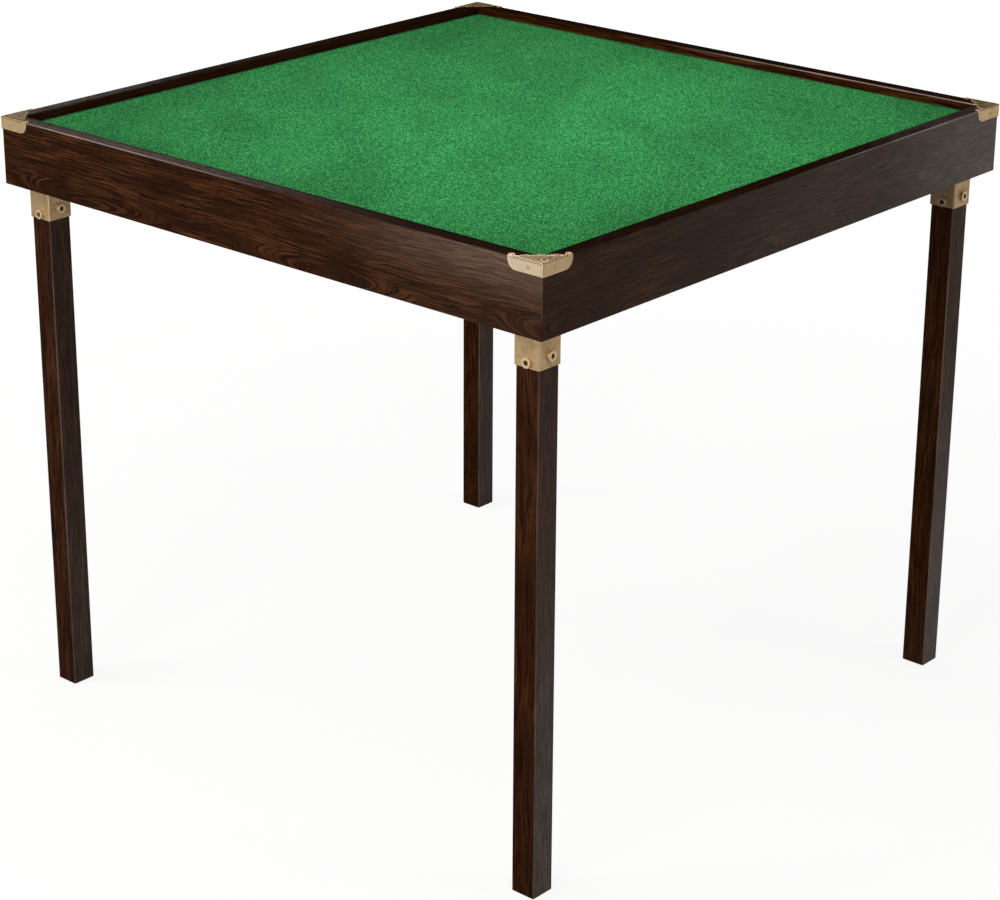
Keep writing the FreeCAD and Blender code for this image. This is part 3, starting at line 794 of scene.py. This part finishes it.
def cap_mesh():
    """The front right cap: a thick sheet with relief, bent over three faces of the corner."""
    low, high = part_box("corner_cap_front_right")
    arm, drop = (high.x - low.x) / MM, (high.z - low.z) / MM
    half_edge = cap_half_edge(arm, drop)
    mirrored = [Vector((p.y, p.x)) for p in reversed(half_edge[1:])]
    seam = straight((-drop, 0), (0, 0)) + straight((0, 0), (0, -drop))
    rim = [tuple(p) for p in half_edge + [Vector(CAP_CUSP)] + mirrored + seam]

    folds = [k * CAP_FOLD_STEP for k in range(-5, 11)]
    upper = [folds[-1] + CAP_STEP * k for k in range(1, int(arm / CAP_STEP))]
    lower = [folds[0] - CAP_SIDE_STEP * k for k in range(1, int(drop))]
    lines = sorted(folds + upper + lower)
    grid = np.array([(u, v) for u in lines for v in lines if not (u < 0 and v < 0)])
    grid = grid[within(grid, rim)]
    grid = grid[gap_to_edges(grid, rim) > CAP_EDGE_CLEAR]
    flat = [Vector(p) for p in rim] + [Vector(p) for p in grid]
    ring = list(range(len(rim)))
    flat, edges, faces = delaunay_2d_cdt(flat, list(zip(ring, ring[1:] + ring[:1])), [ring], 1, 1e-5)[:3]

    points = np.array([tuple(p) for p in flat])
    sunk = cap_relief(points, rim, arm)
    bm = bmesh.new()
    layers = []
    for depths in (sunk, np.full(len(sunk), CAP_SHEET)):
        layer = []
        for (u, v), depth in zip(points, depths):
            sharp = Vector((max(u, 0), max(v, 0), max(-u, -v, 0)))
            core = Vector([max(part, CAP_FOLD) for part in sharp])
            spot = core + (sharp - core).normalized() * (CAP_FOLD - depth)
            layer.append(bm.verts.new((high.x - spot.x * MM, low.y + spot.y * MM, high.z - spot.z * MM)))
        layers.append(layer)
    outer, inner = layers
    for face in faces:
        bm.faces.new([outer[k] for k in face])
        bm.faces.new([inner[k] for k in reversed(face)])
    for a, b in edges:
        if sum(1 for face in faces if a in face and b in face) == 1:
            bm.faces.new((outer[a], outer[b], inner[b], inner[a]))
    bmesh.ops.remove_doubles(bm, verts=bm.verts, dist=2 * WELD)
    return finished(bm)


def quarter_turns(quarters, size):
    return Matrix.Rotation(radians(90 * quarters), size, "Z")


def build_caps(material):
    mesh = cap_mesh()
    for quarters, corner in enumerate(CORNERS):
        turned = mesh.copy()
        turned.transform(quarter_turns(quarters, 4))
        new_piece("cap_plate_" + corner, turned, material, "frame", "cap_brass", "corner_cap_" + corner)


def build_cap_pins(material):
    """Round-headed pins through the caps' sides."""
    low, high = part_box("corner_cap_front_right")
    proud = low.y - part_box("cap_pins")[0].y
    head, radius, length, pointed = (size * MM for size in (PIN_HEAD, *PIN_SHANK))
    under, rim = -0.3 * MM, 0.05 * MM
    profile = [(0, -pointed), (radius, -length), (radius, under), (head, under), (head, rim)]
    profile += [(head * cos(a), rim + (proud - rim) * sin(a)) for a in (0.4, 0.8, 1.2)]
    profile.append((0, proud))
    place = Vector((high.x - PIN_PLACE[0] * MM, low.y, high.z - PIN_PLACE[1] * MM))
    across = Vector((high.x, -place.x, place.z))
    bm = bmesh.new()
    for quarters in range(4):
        turn = quarter_turns(quarters, 3)
        for spot, way in ((place, FRONT), (across, RIGHT)):
            lathe(bm, profile, turn @ spot, turn @ way, 16)
    new_piece("cap_pin_heads", finished(bm), material, "frame", "brass_fittings", "cap_pins")


# ---- sockets and screws

# A corner's clamp screws and the directions of their axes
CLAMPS = {"lower": FRONT, "upper": RIGHT}


def build_sockets(socket_material, screw_material):
    for corner in CORNERS:
        screws = {level: "clamp_screw_" + corner + "_" + level for level in CLAMPS}
        rims = [(middle_of(node), CLAMPS[level]) for level, node in screws.items()]
        soft_piece("leg_socket_" + corner, "socket_" + corner, socket_material, "socket_brass", 0.4 * MM,
                   fold_width=1.1 * MM, rims=rims, rim_width=1.0 * MM)
        for level, node in screws.items():
            name = "grub_screw_" + corner + "_" + level
            soft_piece(node, name, screw_material, "brass_fittings", 0.22 * MM)


def loft(bm, rings):
    """Adds a closed solid through rings that have the same number of points."""
    made = [[bm.verts.new(spot) for spot in ring] for ring in rings]
    join(bm, made)
    bm.faces.new(made[0][::-1])
    bm.faces.new(made[-1])


def slotted_head(bm, place, way, radius, height, angle):
    """A round screw head on a face point, with its slot at an angle."""
    turn = way.to_track_quat("Z", "Y").to_matrix() @ Matrix.Rotation(angle, 3, "Z")

    def ring(reach, level, first, last, count):
        angles = [first + (last - first) * k / 12 for k in range(count)]
        return [place + turn @ Vector((reach * cos(a), reach * sin(a), level)) for a in angles]

    floor = height * 0.4
    loft(bm, [ring(radius, level, 0, 2 * pi, 12) for level in (0, floor)])
    for side in (0, pi):
        layers = []
        for reach, level in ((radius, floor), (radius, height * 0.7), (radius * 0.8, height)):
            start = asin(SLOT * MM / 2 / reach)
            layers.append(ring(reach, level, side + start, side + pi - start, 13))
        loft(bm, layers)


def islands(node):
    """The places of the points of each separate solid of a CAD node."""
    bm = welded(node)
    left = set(bm.verts)
    found = []
    while left:
        group = [left.pop()]
        for vert in group:
            further = {edge.other_vert(vert) for edge in vert.link_edges} & left
            left -= further
            group += further
        found.append([vert.co.copy() for vert in group])
    bm.free()
    return sorted(found, key=lambda group: tuple(round(min(c[k] for c in group), 5) for k in range(3)))


def build_ear_screws(material):
    """Round-headed wood screws in the place of the six-sided ones."""
    random = np.random.default_rng(3)
    radius, height = (size * MM for size in EAR_HEAD)
    shank, length, pointed = (size * MM for size in EAR_SHANK)
    bm = bmesh.new()
    for group in islands("socket_screws"):
        low, high = (Vector([pick(c[k] for c in group) for k in range(3)]) for pick in (min, max))
        middle, size = (low + high) / 2, high - low
        axis = 0 if size.x > size.y else 1
        into = Vector((0, 0, 0))
        into[axis] = 1 if middle[axis] > 0 else -1
        face = middle + into * size[axis] / 2 - into * (size[axis] - height)
        lathe(bm, [(0, 0), (shank, 0), (shank, length), (0, pointed)], face, into, 10)
        slotted_head(bm, face, -into, radius, height, random.uniform(0, pi))
    new_piece("ear_screws", finished(bm), material, "frame", "steel_screws", "socket_screws")


def build_pull_screws(material):
    """Two small screws in the flange of each drawer's pull."""
    random = np.random.default_rng(8)
    radius, height = (size * MM for size in PULL_HEAD)
    for side, way in (("left", -RIGHT), ("back", -FRONT)):
        pull = side + "_drawer_pull"
        low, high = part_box(pull)
        axis = 0 if side == "left" else 1
        bm = bmesh.new()
        for end in (-1, 1):
            place = middle_of(pull)
            place[axis] = low.x if side == "left" else high.y
            place[1 - axis] += end * PULL_SCREW_REACH * MM
            slotted_head(bm, place - way * 0.1 * MM, way, radius, height, random.uniform(0, pi))
        new_piece(side + "_pull_screws", finished(bm), material, side + "_drawer", "pull_brass")


# ---- baize

def build_baize(material):
    """The glued cloth: a closed thin sheet, gently uneven, with soft tucked edges."""
    low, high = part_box("baize")
    count = BAIZE_STEPS

    def height(x, y):
        edge = min(x - low.x, high.x - x, y - low.y, high.y - y)
        swell = 0.10 * sin(23 * x + 1.3) * cos(19 * y - 0.4) + 0.07 * sin(41 * x - 33 * y)
        roll = 0.55 * exp(-edge / (2.2 * MM))
        return high.z - (0.20 + 0.12 * swell + roll) * MM

    bm = bmesh.new()
    xs, ys = ([low[k] + (high[k] - low[k]) * i / count for i in range(count + 1)] for k in (0, 1))
    upper = [[bm.verts.new((x, y, height(x, y))) for y in ys] for x in xs]
    lower = [[bm.verts.new((x, y, low.z)) for y in ys] for x in xs]
    for i in range(count):
        for j in range(count):
            bm.faces.new((upper[i][j], upper[i + 1][j], upper[i + 1][j + 1], upper[i][j + 1]))
            bm.faces.new((lower[i][j], lower[i][j + 1], lower[i + 1][j + 1], lower[i + 1][j]))
    there, back = range(count), range(count, 0, -1)
    ring = [(i, 0) for i in there] + [(count, j) for j in there]
    ring += [(i, count) for i in back] + [(0, j) for j in back]
    join(bm, [[layer[i][j] for i, j in ring] for layer in (upper, lower)])
    cloth = new_piece("baize_cloth", finished(bm), material, "frame", "baize", "baize")


# ---- stage

def floor_material():
    """White to the camera, with pools of light that only gloss shows. It is clear from below."""
    surface = new_surface("floor")
    surface.nodes.remove(surface.shader)
    place = surface.place()
    shine = FLOOR_SHINE
    for x, y, radius, strength in FLOOR_POOLS:
        shine = surface.distance(place, (x, y, 0)).between(radius, 0, 0, strength) + shine
    seen = surface.larger(surface.ray("Camera"), surface.ray("Transmission"))
    values = (surface.distance(place), *FLOOR_REACH, FLOOR_GLOW, FLOOR_FAR)
    strength = seen * surface.add("MapRange", enumerate(values)) + surface.ray("Glossy") * shine
    glow = surface.add("Emission", {"Color": (1, 1, 1), "Strength": strength})
    tone = surface.ray("Diffuse") * (FLOOR_BOUNCE - FLOOR_TONE) + FLOOR_TONE
    lit = surface.add("AddShader", {0: glow, 1: surface.add("BsdfDiffuse", {"Color": tone})})
    under = surface.add("NewGeometry", output="Backfacing")
    both = surface.add("MixShader", {0: under, 1: lit, 2: surface.add("BsdfTransparent")})
    surface.feed(surface.nodes["Material Output"].inputs["Surface"], both)
    return surface.owner


def build_floor():
    corners = [(x * FLOOR_HALF, y * FLOOR_HALF, 0) for x, y in ((-1, -1), (1, -1), (1, 1), (-1, 1))]
    mesh = bpy.data.meshes.new("floor")
    mesh.from_pydata(corners, [], [(0, 1, 2, 3)])
    paint(mesh, floor_material())
    floor = bpy.data.objects.new("floor", mesh)
    bpy.context.scene.collection.objects.link(floor)


def build_sky():
    world = bpy.data.worlds.new("studio")
    bpy.context.scene.world = world
    sky = Surface(world, "Background")
    shine = sky.ray("Glossy").between(0, 1, SKY_LIGHT, SKY_SHINE)
    sky.set(Color=(1, 1, 1), Strength=sky.larger(sky.ray("Camera"), shine))


def build_lamp(name, place, target, size, power, colour):
    lamp = bpy.data.lights.new(name, "AREA")
    lamp.shape = "RECTANGLE"
    lamp.size, lamp.size_y = size
    lamp.energy = power
    lamp.color = colour
    obj = bpy.data.objects.new(name, lamp)
    obj.location = place
    obj.rotation_mode = "QUATERNION"
    obj.rotation_quaternion = (Vector(target) - Vector(place)).to_track_quat("-Z", "Y")
    obj.visible_camera = False
    bpy.context.scene.collection.objects.link(obj)


def build_camera():
    data = bpy.data.cameras.new("camera")
    data.lens = CAMERA_LENS
    data.shift_x, data.shift_y = CAMERA_SHIFT
    camera = bpy.data.objects.new("camera", data)
    camera.location = CAMERA_PLACE
    camera.rotation_euler = (radians(90 - CAMERA_PITCH), 0, radians(CAMERA_HEADING - 90))
    bpy.context.scene.collection.objects.link(camera)
    bpy.context.scene.camera = camera


def build_stage():
    build_floor()
    build_sky()
    for lamp in LAMPS:
        build_lamp(*lamp)
    build_camera()
    bpy.context.scene.view_settings.view_transform = "Standard"


# ---- the table

# Each apron: the axis number across it and the way it faces, its shift and figures, how the scuffing and
# painted highlight of its top edge fade, its top_gloss and its painted sheen and shade, as in wood()
APRONS = {
    "front": ((1, -1), (0.37, 0.11, 0.0),
              ((-0.28, 0.674, 0.155, 0.020, 0.034), (0.11, 0.672, 0.145, 0.020, 0.034),
               (0.455, 0.678, 0.090, 0.021, 0.035)),
              (0, -0.16, 0.10), (0, -0.05, 0.34, 1.0, 0.15),
              ((FRONT_SHEEN, (0, 0.05, 0.42, 0.0, 1.0), (2, 0.690, 0.748, 0.12, 1.0), (4, 0.2, 0.5, 1.0, 0.0)),
               TOP_SHADE)),
    "right": ((0, 1), (3.29, 0.23, 0.8),
              ((-0.37, 0.676, 0.075, 0.019, 0.031), (0.06, 0.674, 0.120, 0.018, 0.030),
               (0.34, 0.672, 0.090, 0.016, 0.026)),
              (1, 0.43, -0.10), (1, 0.15, 0.40, 0.12, 1.0),
              ((RIGHT_SHEEN, (1, -0.45, 0.50, 0.10, 1.0), TO_THE_RIGHT),
               (RIGHT_PALE_SHEEN, (1, 0.15, 0.45, 0.0, 0.95), TO_THE_RIGHT), TOP_SHADE,
               (RIGHT_SHEEN, (1, 0.10, 0.36, 0.0, 0.40), (4, 0.6, 0.9, 0.0, 1.0)))),
    "back": ((1, 1), (1.93, 0.42, 0.5),
             ((0.24, 0.677, 0.110, 0.021, 0.035), (-0.30, 0.675, 0.090, 0.019, 0.031)),
             (0, 0.2, -0.4), (0, 0.15, 0.40, 0.05, 0.5), (TOP_SHADE,)),
    "left": ((0, -1), (2.61, 0.77, 0.3),
             ((0.32, 0.676, 0.100, 0.020, 0.033), (-0.27, 0.676, 0.120, 0.020, 0.033)),
             (1, -0.1, 0.4), (1, -0.42, -0.12, 1.0, 0.05),
             # painted shade on the left apron's faces that face right, its inner face
             (TOP_SHADE, ((0.008, 0.0035, 0.0018), (3, 0.5, 0.8, 0.0, 0.8)))),
}
HEART_DEPTH = 0.130            # of the tree's heart below the rim
FAINT_EDGE_FADE = (2, -1.5, 1.6)    # a fade so long that about a fifth of the scuffing and painted highlight is left at the boards
CORNER_EDGE_FADE = (2, 0.71, 0.68)  # upright corners are scuffed and painted with a highlight near the top only
# the painted highlight on the back apron's inner top edge fades out along it
BACK_INNER_HIGHLIGHT = (0, 0.20, -0.10)
LEG_SHEEN = {                 # painted grey sheen on faces that face right: at the top, at the foot, and the paler sheen at the foot
    "front_right": (0.30, 0.85, 0.50),
    "back_right": (0.50, 0.80, 0.25),
    "back_left": (0.75, 0.95, 0.05),
    "front_left": (0.35, 0.60, 0.05),
}
INNER_WOOD = {                 # by the axis that the grain runs along
    "y": ("maple_rails", (0.3, 0.1, 0.4),
          ("cross_rail_left", "back_drawer_runners", "back_drawer_side_left", "back_drawer_side_right",
           "left_drawer_back", "panel_ledges", "corner_splines")),
    "x": ("maple_boards", (5.3, 0.6, 0.1),
          ("cross_rail_back", "left_drawer_runners", "left_drawer_side_left", "left_drawer_side_right",
           "back_drawer_back")),
}


def dress(material, *nodes):
    for node in nodes:
        paint(frame["nodes"][node].data, material)


def upright_edges(low, high):
    return [((0, x), (1, y)) for x in (low.x, high.x) for y in (low.y, high.y)]


def drawer_edges(side, across, face):
    """The four edges of a drawer's front, each ending at the front's corners."""
    low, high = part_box(side + "_drawer_front")
    along = 1 - across
    edges = []
    for axis, other in ((along, 2), (2, along)):
        ends = ((other, high[other], high[other] + MM), (other, low[other], low[other] - MM))
        edges += [((across, face), (axis, at), *ends, FAINT_EDGE_FADE) for at in (low[axis], high[axis])]
    return edges


def dress_aprons():
    low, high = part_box("apron_front")
    outer, inner, top = low.y, -high.y, high.z
    corners = [(*faces, FAINT_EDGE_FADE, CORNER_EDGE_FADE)
               for faces in upright_edges(Vector((outer, outer)), Vector((-outer, -outer)))]
    for side, ((across, way), shift, figure, fade, top_gloss, painted_light) in APRONS.items():
        face = -outer * way
        worn_highlit_edges = [((across, face), (2, top), fade), *corners]
        if side == "back":
            worn_highlit_edges.append(((across, inner), (2, top), BACK_INNER_HIGHLIGHT))
        if side in DRAWERS:
            worn_highlit_edges += drawer_edges(side, across, face)
        material = wood("walnut_" + side, "yx"[across], (top - HEART_DEPTH, face * 0.90), shift, WALNUT,
                        figure, worn_highlit_edges, painted_light, bold=0.55 if side == "right" else 0.95,
                        dull=(across, inner), top_gloss=top_gloss)
        dress(material, "apron_" + side)
        if side in DRAWERS:
            dress(material, side + "_drawer_front")


def dress_legs():
    for index, corner in enumerate(CORNERS):
        node = "leg_" + corner
        low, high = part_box(node)
        heart = (low.x - 0.07, high.y + 0.09)
        upper, lower, pale_sheen = LEG_SHEEN[corner]
        # Painted grey sheen on the faces that face right, and a paler one near the foot
        painted_light = ((RIGHT_SHEEN, TO_THE_RIGHT, (2, 0.55, 0.08, upper, lower)),
                 (RIGHT_PALE_SHEEN, TO_THE_RIGHT, (2, 0.45, 0.05, 0.0, pale_sheen)))
        material = wood("walnut_" + node, "z", heart, (4.1 + 1.7 * index, 0.31 * index, 0.2), LEG_WALNUT,
                        worn_highlit_edges=upright_edges(low, high), painted_light=painted_light, wander=0.25, bold=0.5, wear_and_highlight=0.38)
        dress(material, node)
        eased(node, 0.9 * MM)


def dress_inner_wood():
    for axis, (name, shift, nodes) in INNER_WOOD.items():
        material = wood(name, axis, (0.70, 0.5), shift, MAPLE, rings=120.0, gloss=0.55, wander=0.3,
                        bold=0.3, gloss_tint=(1, 1, 1))
        dress(material, *nodes)
    dress(plywood(), "playing_panel", "left_drawer_bottom", "back_drawer_bottom")


def dress_metal():
    build_caps(cap_brass())
    sockets = socket_brass()
    # The grub screws are painted near black, standing in for the shade in the bosses' holes
    screw_shade_brass = brass("grub_screw_shade", (0.10, 0.060, 0.030), (0.04, 0.022, 0.012), 0.6, 0.5)[0].owner
    pulls = brass("pull_brass", (0.72, 0.53, 0.29), (0.40, 0.26, 0.13), 0.5, 0.38)[0].owner
    build_cap_pins(sockets)
    build_sockets(sockets, screw_shade_brass)
    for side in DRAWERS:
        soft_piece(side + "_drawer_pull", side + "_pull_plate", pulls, "pull_brass", 0.45 * MM)
        soft_piece(side + "_drawer_bail", side + "_pull_bail", pulls, "pull_brass", 1.0 * MM)
    build_ear_screws(steel())
    build_pull_screws(sockets)


dress_aprons()
dress_legs()
dress_inner_wood()
dress_metal()
build_baize(baize_material())
build_stage()
